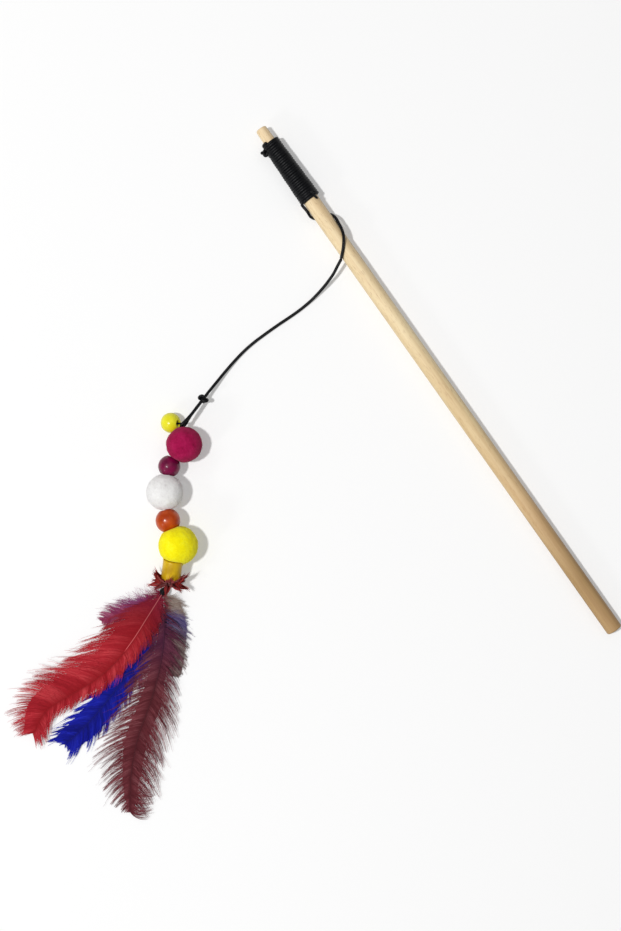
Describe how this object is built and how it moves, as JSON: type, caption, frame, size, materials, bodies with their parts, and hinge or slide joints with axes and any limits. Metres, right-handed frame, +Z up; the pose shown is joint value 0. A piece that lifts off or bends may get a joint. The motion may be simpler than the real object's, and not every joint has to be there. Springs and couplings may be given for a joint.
{
  "type": "cat teaser wand",
  "caption": "Cat teaser wand: a wooden dowel with black cord wound round its tip, and on the cord's end a chain of felt balls and painted beads with a fan of dyed feathers.",
  "frame": {"origin": "middle of the bounding box without the free cord, on the table", "axes": "+X along the dowel from its wound tip to its butt end, +Y across the table towards the dowel from the lure, +Z up from the table; the dowel leans about a third of a degree"},
  "size_m": [0.3, 0.2737, 0.0196],
  "materials": {
    "dowel_wood": "bare beech, darker and browner towards the butt end",
    "black_cord": "waxed black cord with a faint sheen",
    "pink_felt": "fulled wool felt",
    "white_felt": "fulled wool felt",
    "yellow_felt": "fulled wool felt",
    "lemon_paint": "glossy lemon yellow paint",
    "magenta_paint": "glossy magenta paint",
    "orange_paint": "glossy orange paint",
    "golden_paint": "glossy golden yellow paint",
    "red_feather": "dyed feather, red",
    "maroon_feather": "dyed feather, dark maroon, thin and translucent",
    "blue_feather": "dyed feather, royal blue",
    "brown_feather": "dyed feather, grey brown",
    "tuft_feather": "stiff red brown hackles"
  },
  "bodies": {
    "wand": {"stick": "dowel_wood", "winding": "black_cord", "winding_knot": "black_cord", "winding_tail": "black_cord", "loose_turn": "black_cord"},
    "cord": {"free_cord": "black_cord"},
    "lure_top": {"loop_knot": "black_cord", "noose": "black_cord", "bead_string_top": "black_cord", "stopper_knot": "black_cord", "pink_felt_ball": "pink_felt"},
    "small_bead": {"small_yellow_bead": "lemon_paint"},
    "magenta": {"magenta_bead": "magenta_paint"},
    "lure_middle": {"bead_string_middle": "black_cord", "white_felt_ball": "white_felt"},
    "orange": {"orange_bead": "orange_paint"},
    "lure_bottom": {"bead_string_bottom": "black_cord", "yellow_felt_ball": "yellow_felt", "feather_tuft": "tuft_feather"},
    "tube_bead": {"yellow_tube_bead": "golden_paint"},
    "feathers": {"feather_tie": "black_cord", "red_feather": "red_feather", "maroon_feather": "maroon_feather", "blue_feather": "blue_feather", "brown_feather": "brown_feather", "short_blue_feather": "blue_feather"}
  },
  "joints": [
    {"name": "cord_swing", "type": "hinge", "parent": "wand", "child": "cord", "pos_m": [-0.07489, 0.12627, 0.00861], "axis": [0, 0, 1], "range_deg": [-90, 25]},
    {"name": "lure_swing", "type": "hinge", "parent": "cord", "child": "lure_top", "pos_m": [-0.05921, 0.03481, 0.00529], "axis": [0, 0, 1], "range_deg": [-60, 20]},
    {"name": "upper_bend", "type": "hinge", "parent": "lure_top", "child": "lure_middle", "pos_m": [-0.04109, 0.00012, 0.008], "axis": [0, 0, 1], "range_deg": [-8, 8]},
    {"name": "lower_bend", "type": "hinge", "parent": "lure_middle", "child": "lure_bottom", "pos_m": [-0.01987, -0.01556, 0.0096], "axis": [0, 0, 1], "range_deg": [-8, 8]},
    {"name": "feather_swing", "type": "hinge", "parent": "lure_bottom", "child": "feathers", "pos_m": [0.00719, -0.03784, 0.0042], "axis": [0, 0, 1], "range_deg": [-12, 12]},
    {"name": "small_bead_spin", "type": "hinge", "parent": "lure_top", "child": "small_bead", "pos_m": [-0.05817, 0.01277, 0.0049], "axis": [-0.5657, -0.6508, -0.5063], "continuous": true},
    {"name": "magenta_spin", "type": "hinge", "parent": "lure_top", "child": "magenta", "pos_m": [-0.04109, 0.00012, 0.008], "axis": [0.5386, -0.8425, 0.0083], "continuous": true},
    {"name": "orange_spin", "type": "hinge", "parent": "lure_middle", "child": "orange", "pos_m": [-0.01987, -0.01556, 0.0096], "axis": [0.9348, -0.3541, 0.0259], "continuous": true},
    {"name": "tube_bead_spin", "type": "hinge", "parent": "lure_bottom", "child": "tube_bead", "pos_m": [-0.00276, -0.0244, 0.0113], "axis": [0.7007, -0.6649, -0.2588], "continuous": true}
  ]
}
